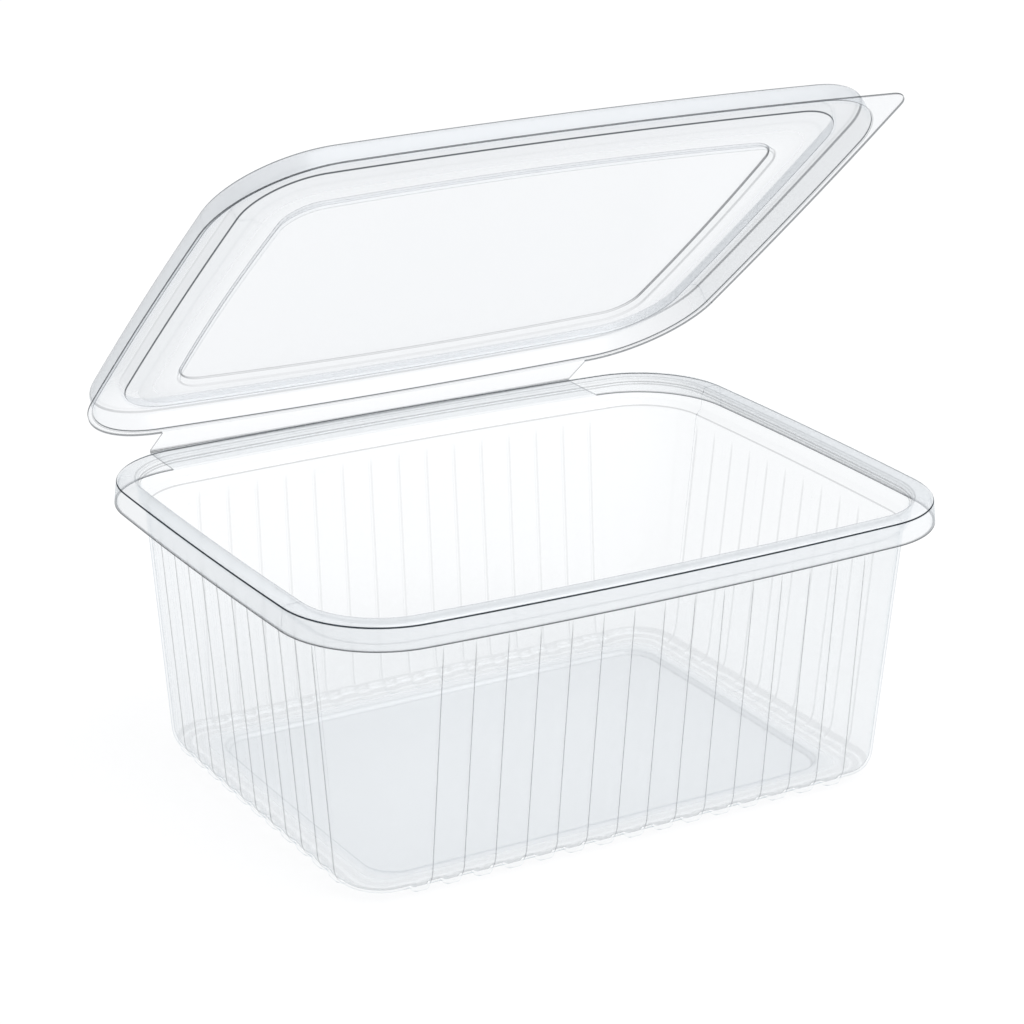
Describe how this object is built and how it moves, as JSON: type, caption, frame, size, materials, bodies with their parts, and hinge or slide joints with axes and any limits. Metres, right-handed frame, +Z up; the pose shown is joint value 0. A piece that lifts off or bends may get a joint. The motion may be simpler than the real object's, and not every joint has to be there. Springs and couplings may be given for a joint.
{
  "type": "takeaway meal container",
  "caption": "Empty clear plastic takeaway meal container: a ribbed rectangular tub with a hinged over-cap lid, standing part open.",
  "frame": {"origin": "middle of the tub's base, on the flat panel that it stands on", "axes": "+X along the long side, +Y towards the hinge at the back, +Z up through the tub's mouth"},
  "size_m": [0.1966, 0.1617, 0.1858],
  "materials": {
    "clear_tub": "clear gloss",
    "clear_lid": "clear gloss"
  },
  "bodies": {
    "tub": {"tub": "clear_tub"},
    "lid": {"lid": "clear_lid"}
  },
  "joints": [
    {"name": "lid_hinge", "type": "hinge", "parent": "tub", "child": "lid", "pos_m": [0, 0.0871, 0.0733], "axis": [-1, 0, 0], "range_deg": [-41.7, 138.3]}
  ]
}
